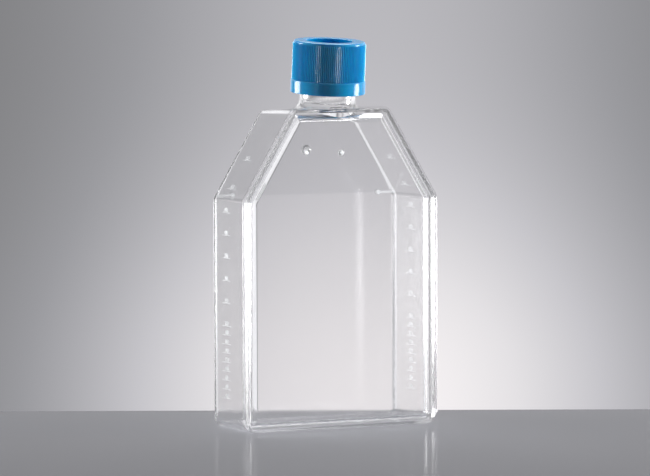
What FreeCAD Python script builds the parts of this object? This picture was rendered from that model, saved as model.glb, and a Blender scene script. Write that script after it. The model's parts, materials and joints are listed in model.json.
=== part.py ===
"""Cell culture flask, 175 cm2 size, standing on its end, with a vented plug-type screw cap.

Millimetres, +Z up. The origin is the middle of the footprint on the surface it stands on.
X runs across the flask. +Y is the back wall, whose inside is the growth surface when the flask
lies on it. -Y is the front, the welded top panel, and the neck leans that way.
Threads, graduations and other surface marks are left off.
"""
import FreeCAD, Part
import math
import os
from FreeCAD import Vector

# ---- Front outline, measured over the weld flange -------------------------------------------
width = 116.0               # across the straight sides
shoulder_z = 124.0          # height at which a side turns into its shoulder
crown_z = 172.5             # height of the flat top between the shoulders
crown_width = 57.0          # across the flat top
heel_radius = 7.0           # corners at the bottom
shoulder_radius = 6.0       # corners between side and shoulder
crown_radius = 5.5          # corners between shoulder and top

# ---- Depth and walls ------------------------------------------------------------------------
depth = 45.0                # front rim to back wall
wall = 1.8                  # body walls
draft_angle = 1.5           # body walls lean in towards the back, degrees
back_edge_radius = 2.6      # outer edge round the back wall
back_inner_radius = 1.6     # inner edge round the back wall
ramp_rise = 0.8             # back wall's inside, from the shoulders' foot up to the flat top

# ---- Ridges inside the back wall, where the growth surface ends ------------------------------
ridge_length = 10.5         # in from each side wall
ridge_width = 1.0
ridge_height = 0.8
ridge_knob_radius = 1.5     # round end

# ---- Top panel and its weld -----------------------------------------------------------------
panel_thickness = 1.8       # its plate
panel_recess = 0.6          # the plate's outside lies this far behind its rim
panel_rim_width = 3.4       # rim that a stacked flask stands in
panel_lip = 2.2             # front of the rim to the weld plane
panel_edge_radius = 1.0     # outer front edge
flange_overhang = 1.2       # weld flange, out from the walls
flange_thickness = 1.0      # of each half of the flange
flange_lift = 0.4           # underside of the flange, above the base
tongue_gap = 0.2            # between the panel's tongue and the body walls
tongue_thickness = 0.8      # at its tip
cove_radius = 4.2           # hollow corner between tongue and plate
lug_length = 11.0           # stacking lugs on the plate, along the shoulders' feet
lug_width = 1.6
lug_margin = 6.4            # edge of the outline to a lug's middle line
lug_rise = 9.0              # crease to a lug's middle, along the shoulder

# ---- Gate marks, one in the middle of each large face ---------------------------------------
gate_z = 148.0
front_gate_radius = 1.9
back_gate_radius = 2.8
gate_depth = 0.6
gate_stub_radius = 0.7

# ---- Neck, measured along its own axis ------------------------------------------------------
neck_lean = 5.2             # towards the front, so that it rises when the flask lies, degrees
neck_margin = 0.45          # neck's front to the weld plane, where it leaves the flat top
neck_height = 34.1          # flat top to lip
neck_radius = 15.0
neck_wall = 1.5
neck_root_radius = 2.0      # blend into the flat top
neck_mouth_radius = 1.2     # inner edge where the bore leaves the chamber
lip_radius = 0.5            # both edges of the lip

# ---- Cap ------------------------------------------------------------------------------------
cap_height = 28.0
thread_room = 1.8           # neck to the cap's bore, for the thread
cap_wall = 2.4              # at the plain band over the ribs
groove_rise = 0.15          # plain band to the bottom of the grooves
rib_height = 0.35
grip_ribs = 120
grip_margin = 1.4           # cap top to the ends of the ribs
skirt_step = 0.95           # plain band to the smooth ring below the ribs
skirt_height = 7.0
skirt_bevel = 0.4
cap_edge_radius = 0.9       # top outer edge
cap_top_thickness = 2.4     # ring over the lip
recess_edge_radius = 0.5    # where that ring turns down into the recess
seat_gap = 0.1              # lip to the underside of that ring
plug_clearance = 0.08       # plug in the neck's bore, on radius
plug_wall = 1.0
plug_tail = 2.6             # plug below the vented floor
plug_lead_in = 0.6
recess_depth = 9.0          # cap top to vented floor
floor_thickness = 1.3
vent_hub_radius = 3.0
vent_rim = 2.0              # plug's inside to the vent openings
vent_count = 8
vent_spoke_width = 1.4

# ---- Vent membrane --------------------------------------------------------------------------
membrane_thickness = 0.4
membrane_edge_gap = 0.5     # to the inside of the plug
membrane_seal_gap = 0.05    # to the underside of the vented floor

# ---- Heights and planes that follow ---------------------------------------------------------
front_y = -depth / 2
back_y = depth / 2
weld_y = front_y + panel_lip
plate_y = front_y + panel_recess + panel_thickness
draft_slope = math.tan(math.radians(draft_angle))
neck_y = weld_y + neck_margin + neck_radius
neck_bore_radius = neck_radius - neck_wall
neck_floor_z = crown_z - flange_overhang
lip_z = neck_floor_z + neck_height
cap_under_z = lip_z + seat_gap
cap_top_z = cap_under_z + cap_top_thickness
cap_bottom_z = cap_top_z - cap_height
cap_bore_radius = neck_radius + thread_room
band_radius = cap_bore_radius + cap_wall
grip_root_radius = band_radius + groove_rise
grip_crest_radius = grip_root_radius + rib_height
skirt_radius = band_radius + skirt_step
plug_radius = neck_bore_radius - plug_clearance
recess_radius = plug_radius - plug_wall
vent_outer_radius = recess_radius - vent_rim
floor_top_z = cap_top_z - recess_depth
floor_under_z = floor_top_z - floor_thickness


def outline_corners(inset, sole, least):
    """Corner points (x, z, radius) of the outline moved in by inset, with its bottom at sole."""
    lean = math.atan2((width - crown_width) / 2, crown_z - shoulder_z)
    top = crown_z - inset
    side = width / 2 - inset
    bend = shoulder_z - inset * math.tan(lean / 2)
    rise = (top - shoulder_z) * math.sin(lean)
    crown = width / 2 - (inset + rise) / math.cos(lean)
    heel_r = max(heel_radius - inset, least)
    bend_r = max(shoulder_radius - inset, least)
    crown_r = max(crown_radius - inset, least)
    right = [(side, sole, heel_r), (side, bend, bend_r), (crown, top, crown_r)]
    left = [(-x, z, r) for x, z, r in reversed(right)]
    return right + left


def outline(y, inset, sole=0.0, least=0.5):
    """The flask's front outline as a wire at depth y, corners rounded by at least that much."""
    points = outline_corners(inset, sole, least)
    runs, arcs = [], []
    for i, (x, z, r) in enumerate(points):
        corner = Vector(x, y, z)
        before = (Vector(points[i - 1][0], y, points[i - 1][1]) - corner).normalize()
        nxt = points[(i + 1) % len(points)]
        after = (Vector(nxt[0], y, nxt[1]) - corner).normalize()
        half = before.getAngle(after) / 2
        reach = r / math.tan(half)
        centre = corner + (before + after).normalize() * (r / math.sin(half))
        middle = centre + (corner - centre).normalize() * r
        runs.append((corner + before * reach, corner + after * reach))
        arcs.append(middle)
    edges = []
    for i, (start, end) in enumerate(runs):
        edges.append(Part.Arc(start, arcs[i], end).toShape())
        edges.append(Part.makeLine(end, runs[(i + 1) % len(runs)][0]))
    return Part.Wire(edges)


def slab(y0, y1, inset, sole=0.0):
    """The outline at one inset, filled and given the depth y0 to y1."""
    return Part.Face(outline(y0, inset, sole)).extrude(Vector(0, y1 - y0, 0))


def edges_at_y(shape, y):
    """Edges that lie wholly in the plane at depth y."""
    return [e for e in shape.Edges
            if abs(e.BoundBox.YMin - y) < 1e-4 and abs(e.BoundBox.YMax - y) < 1e-4]


def drafted(y0, y1, margin, edge_radius):
    """Outline solid that leans in towards the back, its back edge rounded."""
    ends = []
    for y in (y0, y1):
        inset = flange_overhang + margin + (y - weld_y) * draft_slope
        ends.append(outline(y, inset, margin, edge_radius + 0.1))
    solid = Part.makeLoft(ends, True, True)
    return solid.makeFillet(edge_radius, edges_at_y(solid, y1))


def turned(points, centre_y):
    """Solid of revolution about the upright axis at (0, centre_y), from (r, z) points."""
    wire = Part.makePolygon([Vector(r, centre_y, z) for r, z in points + points[:1]])
    return Part.Face(wire).revolve(Vector(0, centre_y, 0), Vector(0, 0, 1), 360)


def rims(shape, radii, centre):
    """Whole round edges of the given radii about one centre."""
    return [e for e in shape.Edges if e.Closed and isinstance(e.Curve, Part.Circle)
            and e.Curve.Center.distanceToPoint(centre) < 0.01
            and min(abs(e.Curve.Radius - r) for r in radii) < 0.01]


def foot_edges(shape, radius):
    """Edges round the foot of the round neck or bore of that radius."""
    tubes = [f for f in shape.Faces
             if isinstance(f.Surface, Part.Cylinder) and abs(f.Surface.Radius - radius) < 0.01]
    return [e for f in tubes for e in f.OuterWire.Edges
            if abs(e.BoundBox.ZMax - neck_floor_z) < radius / 2
            and e.BoundBox.ZLength < radius / 2]


def leaned(shape):
    """The shape, built upright over (0, neck_y), turned to the neck's lean."""
    shape.rotate(Vector(0, neck_y, neck_floor_z), Vector(1, 0, 0), neck_lean)
    return shape


def gate_dimple(face_y, inward, radius):
    """What a gate leaves: a shallow round dimple with the stub standing in it."""
    at, along = Vector(0, face_y, gate_z), Vector(0, inward, 0)
    dimple = Part.makeCylinder(radius, gate_depth, at, along)
    return dimple.cut(Part.makeCylinder(gate_stub_radius, gate_depth, at, along))


def ramped(hollow):
    """The hollow with its back sloping in above the shoulders' foot."""
    inside_y = back_y - wall
    corners = [(inside_y, shoulder_z), (inside_y - ramp_rise, crown_z),
               (back_y, crown_z), (back_y, shoulder_z)]
    wire = Part.makePolygon([Vector(-width / 2, y, z) for y, z in corners + corners[:1]])
    return hollow.cut(Part.Face(wire).extrude(Vector(width, 0, 0)))


def growth_ridges():
    """A low ridge with a round end from each side wall, across the end of the growth surface."""
    inset = flange_overhang + (back_y - weld_y) * draft_slope
    outer_x = width / 2 - inset - wall / 2
    inner_x = outer_x - wall / 2 - ridge_length
    y = back_y - wall - ridge_height
    depth_in = ridge_height + wall / 2
    ridges = []
    for side in (-1, 1):
        start = min(side * inner_x, side * outer_x)
        ridges.append(Part.makeBox(outer_x - inner_x, depth_in, ridge_width,
                                   Vector(start, y, shoulder_z - ridge_width / 2)))
        ridges.append(Part.makeCylinder(ridge_knob_radius, depth_in,
                                        Vector(side * inner_x, y, shoulder_z), Vector(0, 1, 0)))
    return ridges


def build_flask_body():
    """Back, sides, base, shoulders and neck in one moulding, open at the weld plane."""
    ahead_y = weld_y - neck_root_radius - 1
    neck = leaned(Part.makeCylinder(neck_radius, neck_height + 2 * wall,
                                    Vector(0, neck_y, neck_floor_z - 2 * wall)))
    body = drafted(ahead_y, back_y, 0.0, back_edge_radius).fuse(neck)
    body = body.makeFillet(neck_root_radius, foot_edges(body, neck_radius))
    body = body.cut(Part.makeBox(width, weld_y - ahead_y, crown_z, Vector(-width / 2, ahead_y, 0)))
    body = body.fuse(slab(weld_y, weld_y + flange_thickness, 0.0, flange_lift)).removeSplitter()
    bore = leaned(Part.makeCylinder(neck_bore_radius, neck_height + 4 * wall,
                                    Vector(0, neck_y, neck_floor_z - 3 * wall)))
    hollow = drafted(weld_y - 1, back_y - wall, wall, back_inner_radius).fuse(bore)
    hollow = hollow.makeFillet(neck_mouth_radius, foot_edges(hollow, neck_bore_radius))
    body = body.cut(ramped(hollow)).cut(gate_dimple(back_y, -1, back_gate_radius))
    body = body.fuse(growth_ridges()).removeSplitter()
    lip = leaned(Part.Vertex(0, neck_y, lip_z)).Point
    return body.makeFillet(lip_radius, rims(body, [neck_radius, neck_bore_radius], lip))


def stacking_lugs():
    """Two flat bars on the plate, level with its rim, parallel to the shoulders."""
    lean = math.degrees(math.atan2((width - crown_width) / 2, crown_z - shoulder_z))
    bar = Part.makeBox(lug_width, panel_recess + panel_thickness / 2, lug_length,
                       Vector(-lug_margin - lug_width / 2, front_y, lug_rise - lug_length / 2))
    bar = bar.makeFillet(lug_width / 2.1, [e for e in bar.Edges if e.BoundBox.YLength > panel_recess])
    bar.rotate(Vector(0, 0, 0), Vector(0, 1, 0), -lean)
    bar.translate(Vector(width / 2, 0, shoulder_z))
    return [bar, bar.mirror(Vector(0, 0, 0), Vector(1, 0, 0))]


def neck_notch():
    """What is taken out of the tongue, so that it doesn't stand under the neck's mouth."""
    return leaned(Part.makeCylinder(neck_bore_radius + neck_mouth_radius, 4 * cove_radius,
                                    Vector(0, neck_y, neck_floor_z - 4 * cove_radius)))


def build_top_panel():
    """Shallow lid: rimmed plate, lip to the weld plane, and a coved tongue inside the walls."""
    block = slab(front_y, weld_y, flange_overhang)
    block = block.makeFillet(panel_edge_radius, edges_at_y(block, front_y))
    flange = slab(weld_y - flange_thickness, weld_y, 0.0, flange_lift)
    tongue_in = wall + tongue_gap
    tip_y = plate_y + cove_radius
    tongue = slab(weld_y, tip_y, flange_overhang + tongue_in, tongue_in)
    panel = block.fuse([flange, tongue]).removeSplitter()
    panel = panel.cut(slab(front_y, front_y + panel_recess, flange_overhang + panel_rim_width,
                           panel_rim_width))
    inner = tongue_in + tongue_thickness
    sections = []
    for step in range(7):
        turn = math.radians(15 * step)
        margin = inner + cove_radius * (1 - math.cos(turn))
        y = tip_y - cove_radius * math.sin(turn)
        sections.append(outline(y, flange_overhang + margin, margin))
    panel = panel.cut([Part.makeLoft(sections, True, False), neck_notch()])
    panel = panel.fuse(stacking_lugs()).removeSplitter()
    return panel.cut(gate_dimple(front_y + panel_recess, 1, front_gate_radius))


def ribbed_sleeve(z0, z1):
    """Cylinder with fine upright ribs all round, each with two flanks and a sharp crest."""
    half_pitch = math.pi / grip_ribs
    points = []
    for i in range(2 * grip_ribs + 1):
        radius = grip_crest_radius if i % 2 else grip_root_radius
        points.append(Vector(radius * math.cos(i * half_pitch),
                             neck_y + radius * math.sin(i * half_pitch), z0))
    return Part.Face(Part.makePolygon(points)).extrude(Vector(0, 0, z1 - z0))


def vent_windows():
    """The openings between the spokes of the vented floor."""
    height = 2 * floor_thickness
    base = Vector(0, neck_y, floor_under_z - floor_thickness / 2)
    ring = Part.makeCylinder(vent_outer_radius, height, base)
    ring = ring.cut(Part.makeCylinder(vent_hub_radius, height, base))
    spokes = []
    for i in range(vent_count):
        spoke = Part.makeBox(vent_outer_radius + 1, vent_spoke_width, height,
                             base + Vector(0, -vent_spoke_width / 2, 0))
        spoke.rotate(Vector(0, neck_y, 0), Vector(0, 0, 1), 360 * i / vent_count)
        spokes.append(spoke)
    return ring.cut(spokes[0].fuse(spokes[1:]))


def build_cap():
    """Ribbed grip, smooth skirt ring, and a recess whose wall is the plug in the neck."""
    skirt_top = cap_bottom_z + skirt_height
    r, t = skirt_radius, skirt_bevel
    shell = turned([(cap_bore_radius, cap_bottom_z), (r - t / 2, cap_bottom_z),
                    (r, cap_bottom_z + t / 2), (r, skirt_top - t), (r - t, skirt_top),
                    (band_radius, skirt_top), (band_radius, cap_top_z),
                    (recess_radius, cap_top_z), (recess_radius, floor_top_z), (0, floor_top_z),
                    (0, floor_under_z), (recess_radius, floor_under_z),
                    (recess_radius, floor_under_z - plug_tail),
                    (plug_radius - plug_lead_in, floor_under_z - plug_tail),
                    (plug_radius, floor_under_z - plug_tail + 2 * plug_lead_in),
                    (plug_radius, cap_under_z), (cap_bore_radius, cap_under_z)], neck_y)
    top = Vector(0, neck_y, cap_top_z)
    shell = shell.makeFillet(cap_edge_radius, rims(shell, [band_radius], top))
    shell = shell.makeFillet(recess_edge_radius, rims(shell, [recess_radius], top))
    grip = ribbed_sleeve(skirt_top - t, cap_top_z - grip_margin)
    grip = grip.cut(Part.makeCylinder((cap_bore_radius + band_radius) / 2, cap_height,
                                      Vector(0, neck_y, cap_bottom_z)))
    return leaned(shell.fuse(grip).cut(vent_windows()))


def build_vent_membrane():
    """Thin disc under the vented floor."""
    top = floor_under_z - membrane_seal_gap
    disc = Part.makeCylinder(recess_radius - membrane_edge_gap, membrane_thickness,
                             Vector(0, neck_y, top - membrane_thickness))
    return leaned(disc)


os.makedirs("parts", exist_ok=True)
for node, shape in (("flask_body", build_flask_body()),
                    ("top_panel", build_top_panel()),
                    ("cap", build_cap()),
                    ("vent_membrane", build_vent_membrane())):
    shape.exportStep("parts/" + node + ".step")
    box = shape.BoundBox
    print(node, "valid", shape.isValid(), "solids", len(shape.Solids),
          "volume_cm3", round(shape.Volume / 1000, 2),
          "z", round(box.ZMin, 2), round(box.ZMax, 2), "y", round(box.YMin, 2), round(box.YMax, 2))
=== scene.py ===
import json
import math

import bmesh
import bpy
from mathutils import Matrix, Vector


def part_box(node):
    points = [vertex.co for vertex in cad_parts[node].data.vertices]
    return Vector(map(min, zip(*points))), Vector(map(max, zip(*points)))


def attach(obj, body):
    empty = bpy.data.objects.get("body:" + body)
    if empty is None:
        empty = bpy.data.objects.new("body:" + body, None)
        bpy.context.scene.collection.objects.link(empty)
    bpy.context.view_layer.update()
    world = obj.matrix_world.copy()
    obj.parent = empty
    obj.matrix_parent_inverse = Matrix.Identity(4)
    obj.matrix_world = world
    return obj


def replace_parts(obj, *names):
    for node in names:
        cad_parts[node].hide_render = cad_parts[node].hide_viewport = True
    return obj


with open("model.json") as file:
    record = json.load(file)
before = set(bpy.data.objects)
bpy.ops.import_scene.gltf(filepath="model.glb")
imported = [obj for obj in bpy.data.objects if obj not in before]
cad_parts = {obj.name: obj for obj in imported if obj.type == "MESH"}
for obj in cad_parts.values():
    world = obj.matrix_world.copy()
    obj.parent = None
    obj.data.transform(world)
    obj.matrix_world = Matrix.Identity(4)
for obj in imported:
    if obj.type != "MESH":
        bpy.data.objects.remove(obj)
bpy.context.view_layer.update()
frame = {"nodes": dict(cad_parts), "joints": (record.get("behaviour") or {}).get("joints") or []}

MM = 0.001

# ---- Sizes of the flask, as its solids have them --------------------------------------------
front_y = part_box("top_panel")[0].y
back_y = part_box("flask_body")[1].y
half_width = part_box("flask_body")[1].x
crown_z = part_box("top_panel")[1].z
panel_lip = 2.2 * MM            # front of the panel's rim to the weld plane
weld_y = front_y + panel_lip
flange_overhang = 1.2 * MM      # how far the weld flange stands out from the walls
draft = math.radians(1.5)       # the walls lean in towards the back
shoulder_z = 124.0 * MM         # where a side turns into its shoulder
crown_half = 28.5 * MM          # half of the flat top
shoulder_lean = math.atan2(half_width - crown_half, crown_z - shoulder_z)

# ---- The neck, on the axis of the cap's turning joint ---------------------------------------
turn_joint = next(j for j in frame["joints"] if j["name"] == "cap_turn")
neck_foot = Vector(turn_joint["pos_m"])
neck_axis = Vector(turn_joint["axis"]).normalized()
neck_radius = 15.0 * MM
cap_bore_radius = 16.8 * MM


def neck_frame():
    """Matrix from upright coordinates about the neck's foot to the leaning neck."""
    turned = Vector((0, 0, 1)).rotation_difference(neck_axis)
    return Matrix.Translation(neck_foot) @ turned.to_matrix().to_4x4()


def on_neck_axis(z):
    """Point of the neck's axis at a height z."""
    return neck_foot + neck_axis * ((z - neck_foot.z) / neck_axis.z)


def leaned_in(y):
    """How far the outside of the walls stands in from the flange's edge at a depth y."""
    return flange_overhang + (y - weld_y) * math.tan(draft)


# ---- Small helpers for node trees -----------------------------------------------------------

def new_material(name):
    """An empty node material with its output node."""
    mat = bpy.data.materials.new(name)
    mat.use_nodes = True
    tree = mat.node_tree
    tree.nodes.clear()
    return mat, tree, tree.nodes.new("ShaderNodeOutputMaterial")


def add(tree, kind, inputs=None, **attributes):
    """One node with its attributes and, by name, the values of its sockets."""
    node = tree.nodes.new(kind)
    for key, value in attributes.items():
        setattr(node, key, value)
    for name, value in (inputs or {}).items():
        node.inputs[name].default_value = value
    return node


def noise(tree, scale, detail):
    """Noise in object coordinates, scale in cycles per metre."""
    coords = add(tree, "ShaderNodeTexCoord")
    node = add(tree, "ShaderNodeTexNoise", {"Scale": scale, "Detail": detail})
    tree.links.new(coords.outputs["Object"], node.inputs["Vector"])
    return node.outputs["Fac"]


def mapped(tree, value, low, high):
    """value from 0..1 to low..high."""
    node = add(tree, "ShaderNodeMapRange", {"To Min": low, "To Max": high})
    tree.links.new(value, node.inputs["Value"])
    return node.outputs["Result"]


def smooth(tree, value, start, end):
    """0 below start, 1 above end, with a soft change between."""
    node = add(tree, "ShaderNodeMapRange", {"From Min": start, "From Max": end},
               interpolation_type="SMOOTHSTEP")
    tree.links.new(value, node.inputs["Value"])
    return node.outputs["Result"]


def ramped(tree, value, stops):
    """Colour from a value by (position, colour) stops."""
    node = add(tree, "ShaderNodeValToRGB")
    ends = node.color_ramp.elements
    for end, (at, colour) in ((ends[0], stops[0]), (ends[-1], stops[-1])):
        end.position = at
        end.color = colour
    for at, colour in stops[1:-1]:
        ends.new(at).color = colour
    tree.links.new(value, node.inputs["Fac"])
    return node.outputs["Color"]


def bumped(tree, height, distance):
    """Normal from a height value, distance in metres."""
    node = add(tree, "ShaderNodeBump", {"Distance": distance})
    tree.links.new(height, node.inputs["Height"])
    return node.outputs["Normal"]


def linked_or_set(tree, socket, value):
    """Gives a socket a value, or a link from another socket."""
    if isinstance(value, (int, float, tuple)):
        socket.default_value = value
    else:
        tree.links.new(value, socket)


def math_node(tree, operation, *values):
    """One arithmetic node on values or sockets."""
    node = add(tree, "ShaderNodeMath", operation=operation)
    for socket, value in zip(node.inputs, values):
        linked_or_set(tree, socket, value)
    return node.outputs["Value"]


def mixed(tree, factor, a, b):
    """Colour a where factor is 0, b where it is 1."""
    node = add(tree, "ShaderNodeMix", data_type="RGBA")
    for name, value in (("Factor", factor), ("A", a), ("B", b)):
        linked_or_set(tree, node.inputs[name], value)
    return node.outputs["Result"]


def mixed_shader(tree, factor, a, b):
    """Shader a where factor is 0, b where it is 1."""
    node = add(tree, "ShaderNodeMixShader")
    for socket, output in zip(node.inputs, (factor, a.outputs[0], b.outputs[0])):
        tree.links.new(output, socket)
    return node.outputs["Shader"]


def bell(tree, value, centre, spread):
    """exp(-x^2) with x the distance from centre in spreads."""
    x = math_node(tree, "DIVIDE", math_node(tree, "SUBTRACT", value, centre), spread)
    square = math_node(tree, "MULTIPLY", x, x)
    return math_node(tree, "EXPONENT", math_node(tree, "MULTIPLY", square, -1.0))


# ---- Materials ------------------------------------------------------------------------------

polystyrene_ior = 1.59


def clear_polystyrene():
    """Polished clear plastic: glass that lets lamps through, with faint moulding waves."""
    mat, tree, out = new_material("clear_polystyrene")
    shader = add(tree, "ShaderNodeBsdfPrincipled", {
        "Base Color": (0.994, 0.992, 0.996, 1), "Transmission Weight": 1.0,
        "IOR": polystyrene_ior})
    unevenness = noise(tree, scale=90, detail=3)
    waves = noise(tree, scale=28, detail=1)
    tree.links.new(mapped(tree, unevenness, low=0.05, high=0.09), shader.inputs["Roughness"])
    tree.links.new(bumped(tree, waves, distance=0.02 * MM), shader.inputs["Normal"])
    clear = add(tree, "ShaderNodeBsdfTransparent", {"Color": (0.97, 0.975, 0.98, 1)})
    path = add(tree, "ShaderNodeLightPath")
    tree.links.new(mixed_shader(tree, path.outputs["Is Shadow Ray"], shader, clear),
                   out.inputs["Surface"])
    return mat


def frosted_mark(name, alpha):
    """Raised marks of the same plastic with an etched, whitish surface; the same whitish material
    also paints highlights on ridge tops, lug tops and the front gate.
    """
    mat, tree, out = new_material(name)
    shader = add(tree, "ShaderNodeBsdfPrincipled", {
        "Base Color": (0.93, 0.95, 0.96, 1), "Alpha": alpha, "IOR": polystyrene_ior})
    unevenness = noise(tree, scale=3000, detail=2)
    grain = noise(tree, scale=9000, detail=2)
    tree.links.new(mapped(tree, unevenness, low=0.35, high=0.6), shader.inputs["Roughness"])
    tree.links.new(bumped(tree, grain, distance=0.02 * MM), shader.inputs["Normal"])
    tree.links.new(shader.outputs["BSDF"], out.inputs["Surface"])
    return mat


def blue_polyethylene():
    """Satin blue cap plastic, a little translucent and uneven, with the finest surface grain."""
    mat, tree, out = new_material("blue_polyethylene")
    shader = add(tree, "ShaderNodeBsdfPrincipled", {
        "IOR": 1.51, "Subsurface Weight": 0.5, "Subsurface Radius": (0.05, 0.6, 1.0),
        "Subsurface Scale": 3 * MM})
    colour = ramped(tree, noise(tree, scale=160, detail=3), [(0.3, (0.0, 0.285, 0.58, 1)),
                                                             (0.7, (0.0, 0.32, 0.65, 1))])
    unevenness = noise(tree, scale=700, detail=3)
    grain = noise(tree, scale=2200, detail=2)
    tree.links.new(colour, shader.inputs["Base Color"])
    tree.links.new(mapped(tree, unevenness, low=0.13, high=0.2), shader.inputs["Roughness"])
    tree.links.new(bumped(tree, grain, distance=0.01 * MM), shader.inputs["Normal"])
    tree.links.new(shader.outputs["BSDF"], out.inputs["Surface"])
    return mat


def white_filter():
    """Matt microporous membrane with a felt-like grain."""
    mat, tree, out = new_material("white_filter")
    shader = add(tree, "ShaderNodeBsdfPrincipled", {"Roughness": 0.85})
    colour = ramped(tree, noise(tree, scale=4000, detail=4), [(0.0, (0.72, 0.72, 0.70, 1)),
                                                              (1.0, (0.86, 0.86, 0.84, 1))])
    felt = noise(tree, scale=6000, detail=4)
    tree.links.new(colour, shader.inputs["Base Color"])
    tree.links.new(bumped(tree, felt, distance=0.04 * MM), shader.inputs["Normal"])
    tree.links.new(shader.outputs["BSDF"], out.inputs["Surface"])
    return mat


def table_top():
    """Pale grey table top, glossy only at grazing angles."""
    mat, tree, out = new_material("table_top")
    matt = add(tree, "ShaderNodeBsdfDiffuse", {"Color": (0.22, 0.22, 0.233, 1)})
    gloss = add(tree, "ShaderNodeBsdfAnisotropic")
    unevenness = noise(tree, scale=9, detail=2)
    tree.links.new(mapped(tree, unevenness, low=0.05, high=0.09), gloss.inputs["Roughness"])
    facing = add(tree, "ShaderNodeLayerWeight").outputs["Facing"]
    grazing = math_node(tree, "POWER", facing, 20.0)
    tree.links.new(mixed_shader(tree, grazing, matt, gloss), out.inputs["Surface"])
    return mat


clear_body = clear_polystyrene()
# Whitish materials: graduations are real marks; on ridge tops, lug tops and the front gate the
# white is a painted highlight.
frosted_and_highlight = frosted_mark("frosted_mark", 0.36)
faint = frosted_mark("faint_mark", 0.3)
scar_and_highlight = frosted_mark("gate_scar_and_highlight", 0.95)
blue = blue_polyethylene()


# ---- Mesh helpers ---------------------------------------------------------------------------

def finished_mesh(bm, name):
    """Mesh from a bmesh, which is freed."""
    mesh = bpy.data.meshes.new(name)
    bm.to_mesh(mesh)
    bm.free()
    return mesh


def closed_mesh(bm, name):
    """Mesh from a closed bmesh, with its faces turned outwards."""
    bmesh.ops.recalc_face_normals(bm, faces=bm.faces)
    return finished_mesh(bm, name)


def new_piece(mesh, material, body):
    """Piece named as its mesh, riding on a body."""
    piece = bpy.data.objects.new(mesh.name, mesh)
    bpy.context.scene.collection.objects.link(piece)
    mesh.materials.clear()
    mesh.materials.append(material)
    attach(piece, body)
    return piece


def paint(node, material):
    """Puts one material on a CAD node."""
    slots = frame["nodes"][node].material_slots
    for s in slots:
        s.material = material
    if not slots:
        frame["nodes"][node].data.materials.append(material)


# ---- The two mouldings of the flask ---------------------------------------------------------

neck_root_radius = 2.0 * MM     # the solid's blend between neck and flat top
flare_reach = 1.5               # how much wider than that the moulded blend is, at the sides
flare_rise = 2.5                # and how much higher
flare_front = 0.9               # the flare ends where a point looks this much to the front
flare_most = 1.4                # share of flare_reach at the back, 1 at the sides
weld_bite = 0.03 * MM           # how far the panel's weld plane goes into the body
weld_tolerance = 0.01 * MM


def flared_body_mesh():
    """The body with the blend at the neck's root drawn out into a flare, except at the front."""
    mesh = frame["nodes"]["flask_body"].data.copy()
    mesh.name = "moulded_body"
    normals = [Vector(n.vector) for n in mesh.corner_normals]
    stretch = {}
    for v in mesh.vertices:
        rise = v.co.z - (crown_z - leaned_in(v.co.y))
        radial = v.co - on_neck_axis(v.co.z)
        reach = radial.length - neck_radius
        up_blend, out_of_neck = rise / neck_root_radius, reach / neck_root_radius
        if not (-0.01 < up_blend < 1.15 and 0 < out_of_neck < 1.25):    # the blend, and a margin
            continue
        radial.normalize()
        share = min(max((radial.y + flare_front) / flare_front, 0.0), flare_most)
        wider, higher = 1 + flare_reach * share, 1 + flare_rise * min(share, 1.0)
        for _ in range(3):              # the wall's height follows the point's new depth
            z = crown_z - leaned_in(v.co.y) + rise * higher
            v.co = on_neck_axis(z) + radial * (neck_radius + reach * wider)
        stretch[v.index] = (radial, wider, higher)
    for loop in mesh.loops:
        if loop.vertex_index in stretch:
            radial, wider, higher = stretch[loop.vertex_index]
            n = normals[loop.index]
            outward = n.dot(radial)
            around = n - radial * outward - Vector((0, 0, n.z))
            turned = around + radial * outward / wider + Vector((0, 0, n.z / higher))
            normals[loop.index] = turned.normalized()
    mesh.normals_split_custom_set(normals)
    return mesh


def welded_panel_mesh():
    """The panel with its weld plane in the body, so that the joint doesn't mirror like a gap."""
    mesh = frame["nodes"]["top_panel"].data.copy()
    mesh.name = "welded_top_panel"
    for v in mesh.vertices:
        if abs(v.co.y - weld_y) < weld_tolerance:
            v.co.y += weld_bite
    return mesh


# ---- Threads on the neck and in the cap -----------------------------------------------------

thread_pitch = 6.0 * MM
thread_turns = 1.75
thread_depth = 1.3 * MM
thread_base = 2.6 * MM          # width of the ridge at its root
thread_top = 0.9 * MM           # and at its crest
neck_thread_start = 18.0 * MM   # along the neck from its foot
cap_thread_start = 15.0 * MM    # half a pitch from the neck's thread
neck_thread_bite = 0.05 * MM    # how deep each ridge's root stands in its wall
cap_thread_bite = 0.1 * MM


def thread_mesh(name, root, crest, start, steps=72):
    """A helical ridge about the neck's axis, from root to crest radius, run out at its ends."""
    bm = bmesh.new()
    rings = []
    count = int(steps * thread_turns)
    run_out = count / 8
    place = neck_frame()
    for i in range(count + 1):
        angle = 2 * math.pi * i / steps
        height = start + thread_pitch * i / steps
        fade = min(1.0, i / run_out, (count - i) / run_out)
        reach = root + (crest - root) * max(fade, 0.02)
        thickness = 0.4 + 0.6 * fade
        half_base, half_top = thread_base / 2 * thickness, thread_top / 2 * thickness
        section = ((root, -half_base), (reach, -half_top), (reach, half_top), (root, half_base))
        ring = []
        for r, dz in section:
            at = Vector((r * math.cos(angle), r * math.sin(angle), height + dz))
            ring.append(bm.verts.new(place @ at))
        rings.append(ring)
    for a, b in zip(rings, rings[1:]):
        for k in range(4):
            bm.faces.new((a[k], a[(k + 1) % 4], b[(k + 1) % 4], b[k]))
    bm.faces.new(rings[0][::-1])
    bm.faces.new(rings[-1])
    return closed_mesh(bm, name)


# ---- Graduations ----------------------------------------------------------------------------

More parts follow.
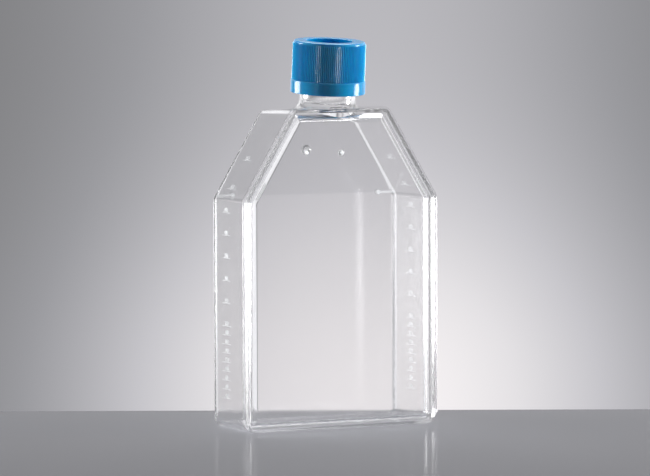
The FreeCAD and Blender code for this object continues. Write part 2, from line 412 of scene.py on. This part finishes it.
ml_height = 0.243 * MM          # height of one millilitre in the straight part
zero_z = 7.0 * MM               # height of the empty mark
straight_marks = [40, 60, 80, 100, 120, 140, 160, 180, 200, 250, 300, 350, 400, 450]
shoulder_marks = [(500, 129.0 * MM), (550, 144.0 * MM)]
mark_y = 4.0 * MM
line_length = 11.0 * MM
line_width = 0.2 * MM
figure_gap = 0.32 * MM          # between a line and the figures that stand on it
figure_size = 3.151 * MM        # size of the lettering, which makes figures 2.3 mm high
mark_rise = 0.12 * MM


def flat_text(text):
    """The text as a flat mesh in its own x and y."""
    curve = bpy.data.curves.new("figure", "FONT")
    curve.body = text
    curve.size = figure_size
    curve.align_x = "CENTER"
    curve.align_y = "BOTTOM_BASELINE"
    curve.extrude = mark_rise / 2
    curve.resolution_u = 3
    maker = bpy.data.objects.new("figure", curve)
    bpy.context.scene.collection.objects.link(maker)
    bpy.context.view_layer.update()
    mesh = bpy.data.meshes.new_from_object(maker)
    bpy.data.objects.remove(maker)
    bpy.data.curves.remove(curve)
    return mesh


def mark_place(side, z):
    """Matrix of a mark on the narrow side (1 right, -1 left) at height z."""
    slope = shoulder_lean if z > shoulder_z else 0.0
    x = half_width - leaned_in(mark_y) - max(z - shoulder_z, 0.0) * math.tan(slope)
    along = Vector((side * -math.sin(draft), 1, 0)).normalized() * side
    up = Vector((-side * math.sin(slope), 0, math.cos(slope)))
    out = along.cross(up).normalized()
    up = out.cross(along)
    turned = Matrix((along, up, out)).transposed().to_4x4()
    return Matrix.Translation(Vector((side * x, mark_y, z)) + out * mark_rise / 2) @ turned


def graduation_mesh(name, side):
    """Every line and number of one narrow side as one mesh."""
    bm = bmesh.new()
    line = Matrix.Diagonal((line_length, line_width, mark_rise, 1))
    for value, z in [(v, zero_z + v * ml_height) for v in straight_marks] + shoulder_marks:
        place = mark_place(side, z)
        bmesh.ops.create_cube(bm, size=1, matrix=place @ line)
        figures = flat_text(str(value))
        figures.transform(place @ Matrix.Translation((0, figure_gap, 0)))
        bm.from_mesh(figures)
        bpy.data.meshes.remove(figures)
    return finished_mesh(bm, name)


# ---- Gate marks -----------------------------------------------------------------------------

gate_z = 148.0 * MM
gate_lens_height = 0.55 * MM
back_gate_radius = 2.7 * MM
back_dimple_depth = 0.62 * MM   # from the back wall's outside to the foot of the lens
front_gate_radius = 1.5 * MM
front_dimple_depth = 1.22 * MM  # from the front of the panel's rim


def lathe_mesh(name, profile, steps=48):
    """Closed mesh turned about its own z from (r, z) points."""
    bm = bmesh.new()
    rings = [[bm.verts.new((r * math.cos(2 * math.pi * i / steps),
                            r * math.sin(2 * math.pi * i / steps), z)) for i in range(steps)]
             for r, z in profile]
    for a, b in zip(rings, rings[1:]):
        for i in range(steps):
            j = (i + 1) % steps
            bm.faces.new((a[i], a[j], b[j], b[i]))
    bm.faces.new(rings[0][::-1])
    bm.faces.new(rings[-1])
    return closed_mesh(bm, name)


def gate_lens(name, radius, y, inward):
    """Rounded puddle of plastic round a gate's stub, standing in its dimple."""
    arc = [math.radians(a) for a in range(0, 81, 8)]
    mesh = lathe_mesh(name, [(radius * math.cos(a), gate_lens_height * math.sin(a)) for a in arc])
    facing = Matrix.Rotation(math.radians(90) * -inward, 4, "X")
    mesh.transform(Matrix.Translation((0, y, gate_z)) @ facing)
    for face in mesh.polygons:
        face.use_smooth = True
    return mesh


# ---- Painted highlights: whitish strips on the tops of the growth ridges and stacking lugs ---

ridge_inner_x = 43.4 * MM       # round end of each ridge
ridge_outer_x = 53.6 * MM
ridge_crest_y = 19.9 * MM
ridge_top_width = 0.8 * MM
ridge_end_width = 2.4 * MM
lug_inset = 6.4 * MM            # middle of a lug from the shoulder's outline
lug_climb = 9.0 * MM            # and from the shoulder's foot, along the shoulder
lug_length = 10.4 * MM
lug_top_width = 1.1 * MM
bar_end_steps = 8
ridge_skin = 0.05 * MM          # how far the painted highlight strips stand proud of ridges and lugs
lug_skin = 0.03 * MM
skin_bite = 0.01 * MM           # and how deep they go in


def bar_mesh(name, bars, crest_y, proud):
    """Flat bars with round ends, a little proud of a crest, from (x, z, length, width, lean)."""
    bm = bmesh.new()
    thickness = Vector((0, proud + skin_bite, 0))
    for x, z, length, width, lean in bars:
        centre = Vector((x, crest_y - proud, z))
        run = Vector((math.sin(lean), 0, math.cos(lean)))
        side = Vector((run.z, 0, -run.x))
        ring = []
        for end in (1, -1):
            for i in range(bar_end_steps + 1):
                a = math.pi * (i / bar_end_steps - 0.5)
                ring.append(centre + end * (run * ((length - width) / 2 + width / 2 * math.cos(a))
                                            + side * width / 2 * math.sin(a)))
        front = [bm.verts.new(p) for p in ring]
        back = [bm.verts.new(p + thickness) for p in ring]
        bm.faces.new(front)
        bm.faces.new(back[::-1])
        for i in range(len(ring)):
            j = (i + 1) % len(ring)
            bm.faces.new((front[j], front[i], back[i], back[j]))
    return closed_mesh(bm, name)


def ridge_bars():
    """Painted highlight strips on the tops of the two growth ridges, each with its round end."""
    middle, length = (ridge_inner_x + ridge_outer_x) / 2, ridge_outer_x - ridge_inner_x
    end_length = ridge_end_width + 0.01 * MM    # not quite round, so that no points coincide
    bars = []
    for side in (-1, 1):
        bars.append((side * middle, shoulder_z, length, ridge_top_width, math.radians(90)))
        bars.append((side * ridge_inner_x, shoulder_z, end_length, ridge_end_width, 0.0))
    return bars


def lug_bars():
    """Painted highlight strips on the tops of the two stacking lugs."""
    inward, up = math.sin(shoulder_lean), math.cos(shoulder_lean)
    x = half_width - lug_inset * up - lug_climb * inward
    z = shoulder_z - lug_inset * inward + lug_climb * up
    return [(side * x, z, lug_length, lug_top_width, -side * shoulder_lean) for side in (-1, 1)]


# ---- The pieces -----------------------------------------------------------------------------

paint("cap", blue)
paint("vent_membrane", white_filter())

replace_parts(new_piece(flared_body_mesh(), clear_body, "flask"), "flask_body")
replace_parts(new_piece(welded_panel_mesh(), clear_body, "flask"), "top_panel")

neck_thread = thread_mesh("neck_thread", neck_radius - neck_thread_bite,
                          neck_radius + thread_depth, neck_thread_start)
cap_thread = thread_mesh("cap_thread", cap_bore_radius + cap_thread_bite,
                         cap_bore_radius - thread_depth, cap_thread_start)
new_piece(neck_thread, clear_body, "flask")
new_piece(cap_thread, blue, "cap")

new_piece(graduation_mesh("graduations_right", 1), frosted_and_highlight, "flask")
new_piece(graduation_mesh("graduations_left", -1), faint, "flask")

new_piece(gate_lens("gate_lens_back", back_gate_radius, back_y - back_dimple_depth, 1),
          clear_body, "flask")
# The front gate mark is real; its opaque white is partly a painted highlight.
new_piece(gate_lens("gate_scar_front", front_gate_radius, front_y + front_dimple_depth, -1),
          scar_and_highlight, "flask")
# Whitish strips on the ridge and lug tops are painted highlights.
new_piece(bar_mesh("ridge_highlights", ridge_bars(), ridge_crest_y, ridge_skin),
          frosted_and_highlight, "flask")
new_piece(bar_mesh("lug_highlights", lug_bars(), front_y, lug_skin), scar_and_highlight, "flask")


# ---- Camera ---------------------------------------------------------------------------------

view_yaw = math.radians(26.808)
view_pitch = math.radians(3.672)
view_roll = math.radians(-0.183)
view_distance = 2.3201
view_middle = Vector((0, 0, 100 * MM))
step_right = 0.869 * MM         # the camera's own place beside and above that line of sight
step_up = 1.194 * MM
lens_mm = 238.15

ahead_flat = Vector((math.sin(view_yaw), math.cos(view_yaw), 0))
level_right = Vector((math.cos(view_yaw), -math.sin(view_yaw), 0))


def add_camera():
    """Camera at the height and distance of the photograph, on a long lens."""
    ahead = ahead_flat * math.cos(view_pitch) - Vector((0, 0, math.sin(view_pitch)))
    up = level_right.cross(ahead)
    right = math.cos(view_roll) * level_right + math.sin(view_roll) * up
    up = right.cross(ahead)
    data = bpy.data.cameras.new("camera")
    data.lens = lens_mm
    data.sensor_width = 36
    camera = bpy.data.objects.new("camera", data)
    bpy.context.scene.collection.objects.link(camera)
    place = view_middle - ahead * view_distance + right * step_right + up * step_up
    turned = Matrix((right, up, -ahead)).transposed().to_4x4()
    camera.matrix_world = Matrix.Translation(place) @ turned
    bpy.context.scene.camera = camera


# ---- Table ----------------------------------------------------------------------------------

table_back = 76 * MM            # behind the flask
table_front = 900 * MM
table_half = 900 * MM
table_thickness = 25 * MM
table_edge = 1 * MM             # rounding of its edges


def add_table():
    """A pale table, square to the camera, whose back edge shows behind the flask."""
    bm = bmesh.new()
    depth = table_back + table_front
    middle = ahead_flat * (table_back - depth / 2) - Vector((0, 0, table_thickness / 2))
    turned = Matrix((level_right, ahead_flat, Vector((0, 0, 1)))).transposed().to_4x4()
    size = Matrix.Diagonal((2 * table_half, depth, table_thickness, 1))
    bmesh.ops.create_cube(bm, size=1, matrix=Matrix.Translation(middle) @ turned @ size)
    bmesh.ops.bevel(bm, geom=bm.edges, offset=table_edge, segments=3, affect="EDGES")
    mesh = finished_mesh(bm, "table")
    mesh.materials.append(table_top())
    table = bpy.data.objects.new("table", mesh)
    bpy.context.scene.collection.objects.link(table)


# ---- World ----------------------------------------------------------------------------------

# What glass and gloss see round the horizon, by bearing from the camera's line of sight in
# degrees: white screens at both sides of the backdrop, and darker gaps that the flat faces mirror.
screen_levels = [(-180, 0.25), (-154, 0.3), (-148, 0.9), (-138, 0.9), (-130, 0.4), (-90, 0.4),
                 (-60, 0.4), (-50, 0.2), (-40, 0.25), (-33, 1.0), (-7, 1.0), (7, 1.0), (20, 1.0),
                 (40, 1.0), (62, 0.6), (72, 0.4), (112, 0.4), (119, 0.3), (133, 0.3),
                 (138, 0.6), (141, 1.0), (151, 1.0), (156, 0.3), (180, 0.25)]
screen_tint = (0.99, 0.99, 1.02)
backdrop_shades = [(0.0, (0.19, 0.19, 0.195, 1)), (0.2, (0.325, 0.325, 0.345, 1)),
                   (0.5, (0.575, 0.567, 0.598, 1)), (0.75, (0.775, 0.755, 0.775, 1)),
                   (1.0, (0.94, 0.905, 0.915, 1))]
# Places in the world are parts of a unit direction: across to the right, and height.
glow_across, glow_half_width = 0.0104, 0.0638
glow_height, glow_half_height = -0.102, 0.0464
glow_high_up = 0.38             # what is left of the glow far above its middle
backdrop_edge = (math.radians(4.8), math.radians(7))    # bearings where backdrop turns to screens
ceiling_colour = (0.7, 0.71, 0.74, 1)
ceiling_edge = (0.34, 0.5)      # heights where screens turn to ceiling
ground_colour = (0.55, 0.55, 0.57, 1)
ground_edge = (0.15, 0.2)       # and, downwards, to ground
plain_level = 0.04              # even light on matt surfaces, beside the lamps


def backdrop_colour(tree, across, height):
    """Grey backdrop with a slightly warm glow low down in its middle."""
    above = math_node(tree, "MAXIMUM", height, glow_height)
    rise = bell(tree, above, glow_height, glow_half_height)
    rise = math_node(tree, "MULTIPLY", rise, 1 - glow_high_up)
    rise = math_node(tree, "ADD", rise, glow_high_up)
    glow = math_node(tree, "MULTIPLY", rise, bell(tree, across, glow_across, glow_half_width))
    return ramped(tree, glow, backdrop_shades)


def studio_colour(tree):
    """What is seen of the studio: backdrop ahead, screens round about, ceiling and ground."""
    coords = add(tree, "ShaderNodeTexCoord").outputs["Generated"]

    def along(direction):
        node = add(tree, "ShaderNodeVectorMath", operation="DOT_PRODUCT")
        node.inputs[1].default_value = direction
        tree.links.new(coords, node.inputs[0])
        return node.outputs["Value"]

    across, height = along(level_right), along((0, 0, 1))
    bearing = math_node(tree, "ARCTAN2", across, along(ahead_flat))
    part_of_turn = math_node(tree, "ADD", math_node(tree, "DIVIDE", bearing, 2 * math.pi), 0.5)
    screens = ramped(tree, part_of_turn,
                     [(degrees / 360 + 0.5, tuple(level * tint for tint in screen_tint) + (1,))
                      for degrees, level in screen_levels])
    to_the_side = smooth(tree, math_node(tree, "ABSOLUTE", bearing), *backdrop_edge)
    colour = mixed(tree, to_the_side, backdrop_colour(tree, across, height), screens)
    colour = mixed(tree, smooth(tree, height, *ceiling_edge), colour, ceiling_colour)
    depth = math_node(tree, "MULTIPLY", height, -1.0)
    return mixed(tree, smooth(tree, depth, *ground_edge), colour, ground_colour)


def add_world():
    """Even light on the object, and the studio for what is seen, mirrored or looked through."""
    world = bpy.data.worlds.new("studio")
    bpy.context.scene.world = world
    world.use_nodes = True
    tree = world.node_tree
    tree.nodes.clear()
    seen = add(tree, "ShaderNodeBackground")
    tree.links.new(studio_colour(tree), seen.inputs["Color"])
    plain = add(tree, "ShaderNodeBackground", {"Color": (1, 1, 1, 1), "Strength": plain_level})
    rays = add(tree, "ShaderNodeLightPath").outputs
    shown = math_node(tree, "MAXIMUM", rays["Is Glossy Ray"], rays["Is Transmission Ray"])
    shown = math_node(tree, "MAXIMUM", rays["Is Camera Ray"], shown)
    out = add(tree, "ShaderNodeOutputWorld")
    tree.links.new(mixed_shader(tree, shown, plain, seen), out.inputs["Surface"])


# ---- Lamps ----------------------------------------------------------------------------------

def add_softbox(name, bearing, distance, height, width, tall, watts, mirrored=True):
    """Rectangular lamp at a bearing from the camera's line of sight, facing the flask."""
    a = view_yaw + math.radians(bearing)
    lamp = bpy.data.lights.new(name, "AREA")
    lamp.shape = "RECTANGLE"
    lamp.size = width
    lamp.size_y = tall
    lamp.energy = watts
    box = bpy.data.objects.new(name, lamp)
    bpy.context.scene.collection.objects.link(box)
    place = Vector((math.sin(a) * distance, math.cos(a) * distance, height))
    back = (place - view_middle).normalized()
    side = Vector((0, 0, 1)).cross(back).normalized()
    turned = Matrix((side, back.cross(side), back)).transposed().to_4x4()
    box.matrix_world = Matrix.Translation(place) @ turned
    box.visible_camera = False
    box.visible_glossy = box.visible_transmission = mirrored


add_camera()
add_table()
add_world()
# The mirrored side lamps are low, so that flat walls seen from above don't mirror them.
add_softbox("softbox_left", -71, distance=1.6, height=0.07, width=0.72, tall=0.34, watts=9.5)
add_softbox("softbox_right", 79, distance=1.6, height=0.08, width=0.5, tall=0.36, watts=9)
add_softbox("softbox_top", 0, distance=0.6, height=1.0, width=0.8, tall=0.6, watts=10)
for name, bearing, watts in (("fill_left", -86, 26), ("fill_right", 90, 41)):
    add_softbox(name, bearing, distance=1.6, height=0.6, width=0.8, tall=1.8, watts=watts,
                mirrored=False)

light_paths = bpy.context.scene.cycles      # clear walls behind walls need long paths
light_paths.max_bounces = 32
light_paths.glossy_bounces = 24
light_paths.transmission_bounces = 32
bpy.context.scene.view_settings.view_transform = "Standard"

bpy.context.view_layer.update()
